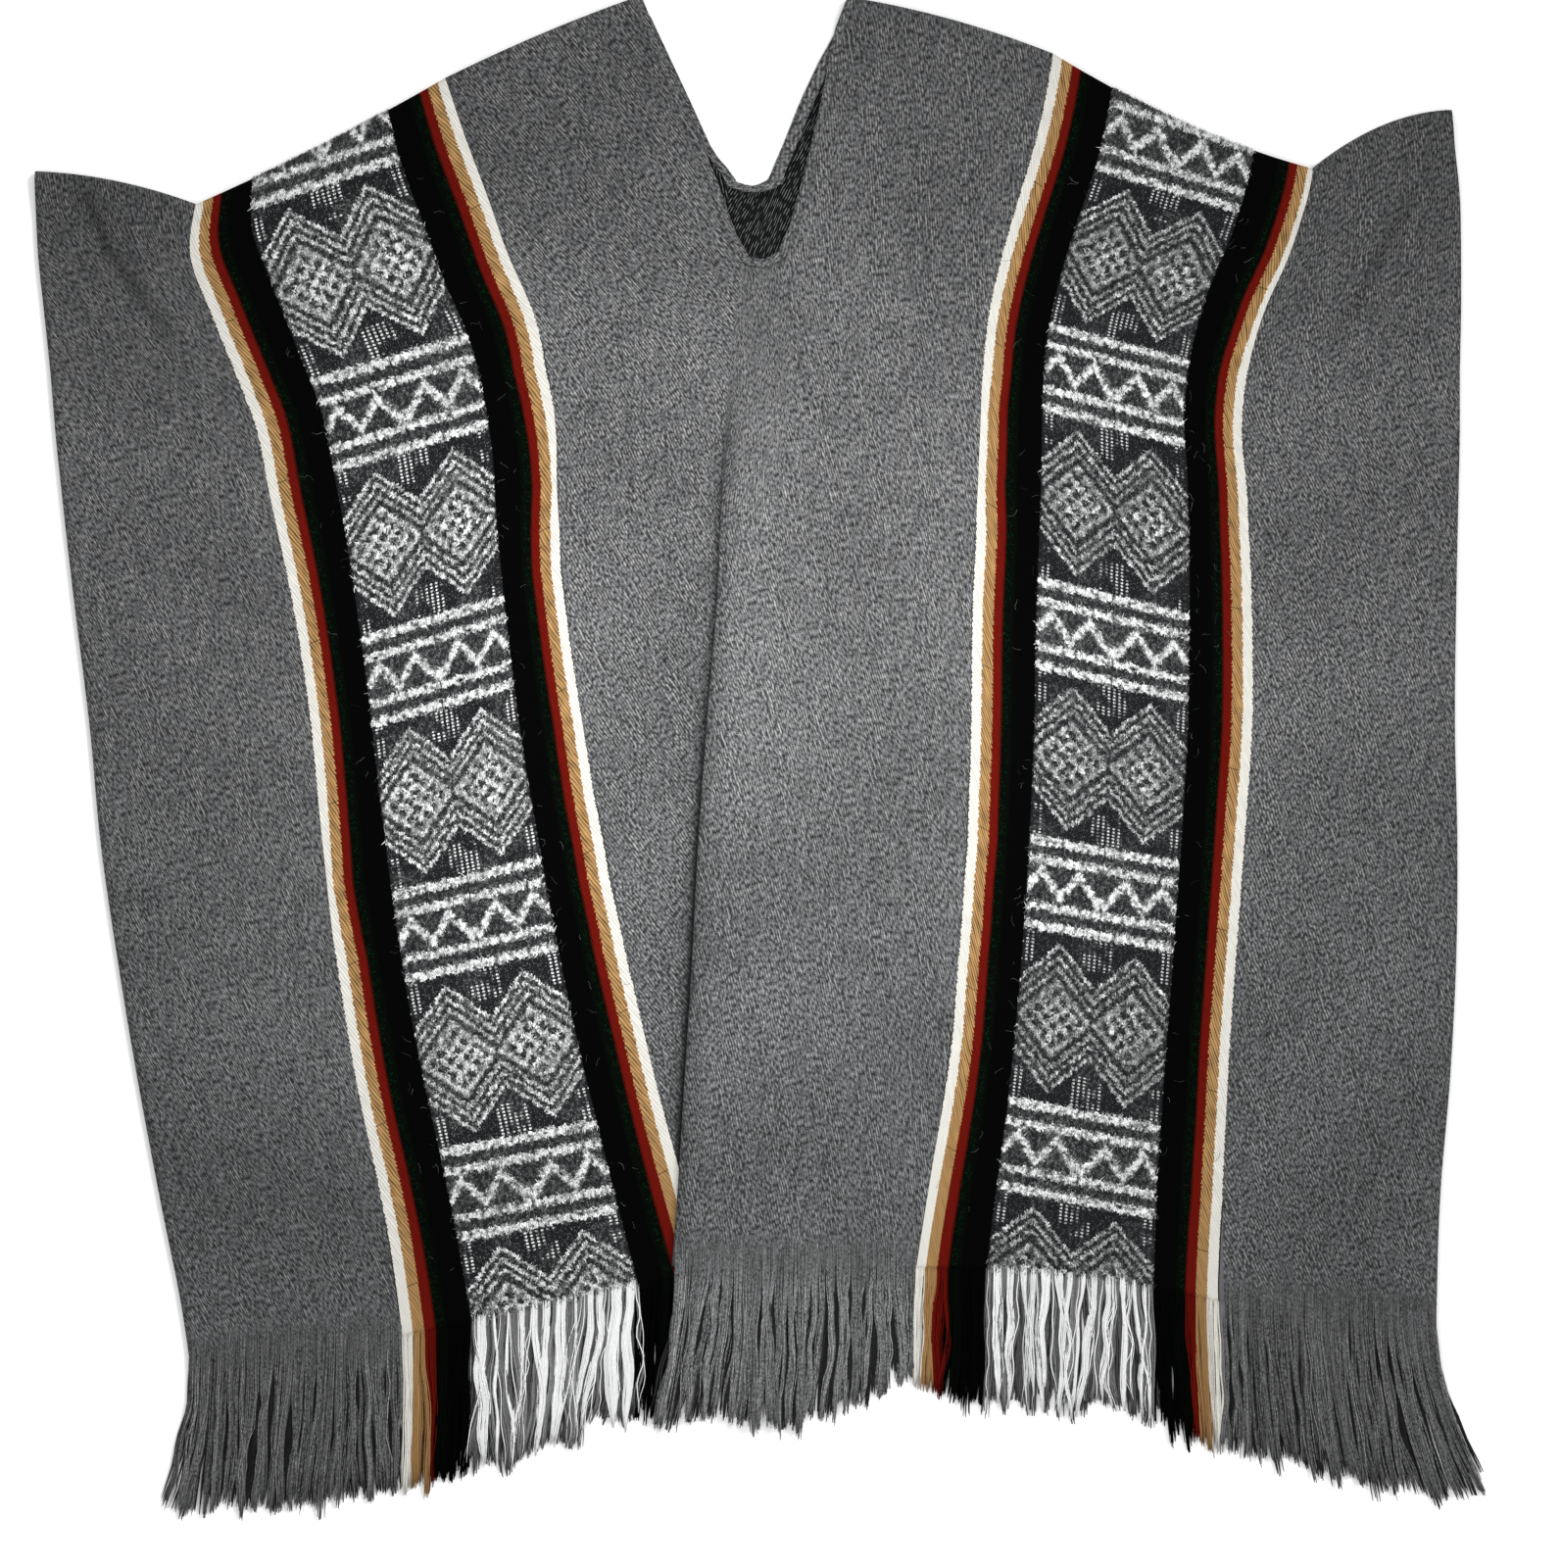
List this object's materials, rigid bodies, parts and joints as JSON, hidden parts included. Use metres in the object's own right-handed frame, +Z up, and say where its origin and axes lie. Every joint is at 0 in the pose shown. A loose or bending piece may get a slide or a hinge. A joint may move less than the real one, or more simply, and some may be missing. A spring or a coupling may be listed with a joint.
{
  "type": "andean poncho laid flat",
  "caption": "Grey wool poncho laid flat face up, doubled at the shoulders, with a V neck, a front pleat, two striped and patterned bands and fringed ends.",
  "frame": {"origin": "centre of the bounding box's bottom face, on the surface that the poncho lies on", "axes": "+Z up out of the front, +Y from the hem towards the shoulders, +X to the right of someone looking down on the front"},
  "size_m": [1.1808, 1.2396, 0.0105],
  "materials": {
    "wool_front": "matt grey heather wool twill with two striped and patterned bands",
    "wool_back": "matt grey heather wool twill, same cloth as the front",
    "wool_hem": "matt grey wool, turned and stitched",
    "fringe_grey": "loose grey wool strands",
    "fringe_stripes": "loose wool strands in white, tan, red and black",
    "fringe_white": "loose white and grey wool strands"
  },
  "bodies": {
    "root": {"cloth_front": "wool_front", "cloth_back": "wool_back", "neck_hem_front": "wool_hem", "neck_hem_back": "wool_hem", "fringe_front_left_panel": "fringe_grey", "fringe_front_left_stripes_outer": "fringe_stripes", "fringe_front_left_pattern": "fringe_white", "fringe_front_left_stripes_inner": "fringe_stripes", "fringe_front_pleat_under": "fringe_grey", "fringe_front_pleat_return": "fringe_grey", "fringe_front_centre": "fringe_grey", "fringe_front_right_stripes_inner": "fringe_stripes", "fringe_front_right_pattern": "fringe_white", "fringe_front_right_stripes_outer": "fringe_stripes", "fringe_front_right_panel": "fringe_grey", "fringe_back_left_panel": "fringe_grey", "fringe_back_left_band": "fringe_stripes", "fringe_back_centre": "fringe_grey", "fringe_back_right_band": "fringe_stripes", "fringe_back_right_panel": "fringe_grey"}
  },
  "joints": []
}
